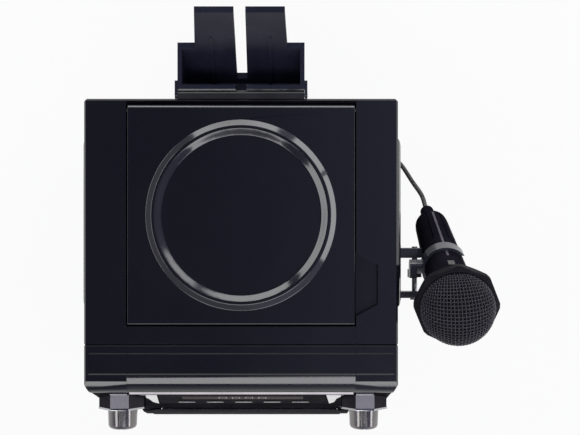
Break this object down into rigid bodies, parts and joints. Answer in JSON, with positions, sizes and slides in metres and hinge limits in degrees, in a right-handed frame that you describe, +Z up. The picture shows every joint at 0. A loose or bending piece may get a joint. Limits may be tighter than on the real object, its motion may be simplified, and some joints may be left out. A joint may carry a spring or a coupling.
{
  "type": "karaoke machine",
  "caption": "Upright karaoke machine with a disc tray under a hinged lid, a hinged tablet cradle, a front loudspeaker and a corded microphone in a side clip.",
  "frame": {"origin": "on the ground under the middle of the whole machine, microphone and cradle included", "axes": "+Z up, the loudspeaker faces -Y, the microphone is on the +X side"},
  "size_m": [0.292, 0.3062, 0.3446],
  "materials": {
    "gloss_black": "gloss",
    "dark_plastic": "satin",
    "chrome": "polished",
    "steel": "satin",
    "soft_rubber": "matte",
    "lens_glass": "polished",
    "white_plastic": "satin",
    "board": "satin",
    "paper": "matte",
    "mesh_steel": "satin"
  },
  "bodies": {
    "cabinet": {"rear_cabinet": "gloss_black", "front_cabinet": "gloss_black", "base_plate": "dark_plastic", "rubber_feet": "soft_rubber", "case_screws": "steel", "side_trims": "gloss_black", "jack_panel": "dark_plastic", "rca_jacks": "chrome", "mic_jack": "chrome", "power_inlet": "dark_plastic", "disc_tray": "dark_plastic", "lid_pins": "steel", "spindle_motor": "steel", "deck_plate": "steel", "damper_grommets": "soft_rubber", "guide_rods": "steel", "control_panel": "gloss_black", "display_window": "lens_glass", "key_board": "board", "seat_rims": "chrome", "level_pots": "steel", "front_jacks": "chrome", "level_lamps": "chrome", "chrome_trim": "chrome", "grille_frame": "dark_plastic", "speaker_grille": "mesh_steel", "speaker_basket": "dark_plastic", "speaker_magnet": "steel", "speaker_surround": "soft_rubber", "main_board": "board", "cradle_bracket": "dark_plastic", "cradle_pin": "steel", "holder_base": "dark_plastic", "holder_pin": "steel", "mic_cord": "soft_rubber", "cord_coil": "soft_rubber", "cord_lead": "soft_rubber", "mic_plug": "steel"},
    "lid": {"disc_lid": "gloss_black"},
    "turntable": {"spindle_hub": "dark_plastic"},
    "sled": {"optical_pickup": "dark_plastic", "pickup_lens": "lens_glass"},
    "gear": {"sled_gear": "white_plastic"},
    "rocker": {"power_switch": "dark_plastic"},
    "key_play": {"button_play": "dark_plastic"},
    "key_stop": {"button_stop": "dark_plastic"},
    "key_back": {"button_back": "dark_plastic"},
    "key_next": {"button_next": "dark_plastic"},
    "key_lights": {"button_lights": "dark_plastic"},
    "dial_left": {"knob_left": "chrome"},
    "dial_right": {"knob_right": "chrome"},
    "cone": {"speaker_cone": "paper"},
    "cradle": {"tablet_cradle": "gloss_black"},
    "arm": {"holder_arm": "dark_plastic"},
    "clip": {"mic_clip": "dark_plastic"},
    "microphone": {"mic_handle": "gloss_black", "mic_ring": "soft_rubber", "mic_grille": "mesh_steel", "mic_capsule": "steel"},
    "mic_slider": {"mic_switch": "chrome"}
  },
  "joints": [
    {"name": "lid_hinge", "type": "hinge", "parent": "cabinet", "child": "lid", "pos_m": [-0.0326, 0.08499, 0.295], "axis": [-1, 0, 0], "range_deg": [0, 75]},
    {"name": "disc_spin", "type": "hinge", "parent": "cabinet", "child": "turntable", "pos_m": [-0.0326, 0.01109, 0.28], "axis": [0, 0, 1], "continuous": true},
    {"name": "pickup_slide", "type": "slide", "parent": "cabinet", "child": "sled", "axis": [0, -1, 0], "range_m": [0, 0.033]},
    {"name": "sled_gear_turn", "type": "hinge", "parent": "cabinet", "child": "gear", "pos_m": [0.0024, -0.02812, 0.269], "axis": [0, 0, 1], "range_deg": [0, 240]},
    {"name": "power_rocker", "type": "hinge", "parent": "cabinet", "child": "rocker", "pos_m": [-0.0326, 0.08809, 0.07], "axis": [-1, 0, 0], "range_deg": [0, 16]},
    {"name": "press_play", "type": "slide", "parent": "cabinet", "child": "key_play", "axis": [0, 0.9609, -0.2767], "range_m": [0, 0.0007], "stiffness_N_per_m": 800},
    {"name": "press_stop", "type": "slide", "parent": "cabinet", "child": "key_stop", "axis": [0, 0.9609, -0.2767], "range_m": [0, 0.0007], "stiffness_N_per_m": 800},
    {"name": "press_back", "type": "slide", "parent": "cabinet", "child": "key_back", "axis": [0, 0.9609, -0.2767], "range_m": [0, 0.0007], "stiffness_N_per_m": 800},
    {"name": "press_next", "type": "slide", "parent": "cabinet", "child": "key_next", "axis": [0, 0.9609, -0.2767], "range_m": [0, 0.0007], "stiffness_N_per_m": 800},
    {"name": "press_lights", "type": "slide", "parent": "cabinet", "child": "key_lights", "axis": [0, 0.9609, -0.2767], "range_m": [0, 0.0007], "stiffness_N_per_m": 800},
    {"name": "turn_left_knob", "type": "hinge", "parent": "cabinet", "child": "dial_left", "pos_m": [-0.1209, -0.14091, 0.262], "axis": [0, -1, 0], "range_deg": [-150, 150]},
    {"name": "turn_right_knob", "type": "hinge", "parent": "cabinet", "child": "dial_right", "pos_m": [0.0557, -0.14091, 0.262], "axis": [0, -1, 0], "range_deg": [-150, 150]},
    {"name": "cone_travel", "type": "slide", "parent": "cabinet", "child": "cone", "axis": [0, -1, 0], "range_m": [-0.0015, 0.0015], "stiffness_N_per_m": 2500},
    {"name": "cradle_tilt", "type": "hinge", "parent": "cabinet", "child": "cradle", "pos_m": [-0.0326, 0.09569, 0.2966], "axis": [-1, 0, 0], "range_deg": [-20, 12]},
    {"name": "holder_swing", "type": "hinge", "parent": "cabinet", "child": "arm", "pos_m": [0.0954, -0.03091, 0.24], "axis": [0, 1, 0], "range_deg": [0, 11], "deforming": ["mic_cord"]},
    {"name": "clip_tilt", "type": "hinge", "parent": "arm", "child": "clip", "pos_m": [0.0974, -0.02691, 0.251], "axis": [1, 0, 0], "range_deg": [-25, 30], "deforming": ["mic_cord"]},
    {"name": "mic_lift", "type": "slide", "parent": "clip", "child": "microphone", "axis": [0, -0.3551, 0.9348], "range_m": [0, 0.13], "deforming": ["mic_cord"]},
    {"name": "mic_switch_slide", "type": "slide", "parent": "microphone", "child": "mic_slider", "axis": [0, 0.3551, -0.9348], "range_m": [0, 0.004]}
  ],
  "couplings": [
    {"joint": "sled_gear_turn", "follows": "pickup_slide", "rad_per_m": 125}
  ]
}
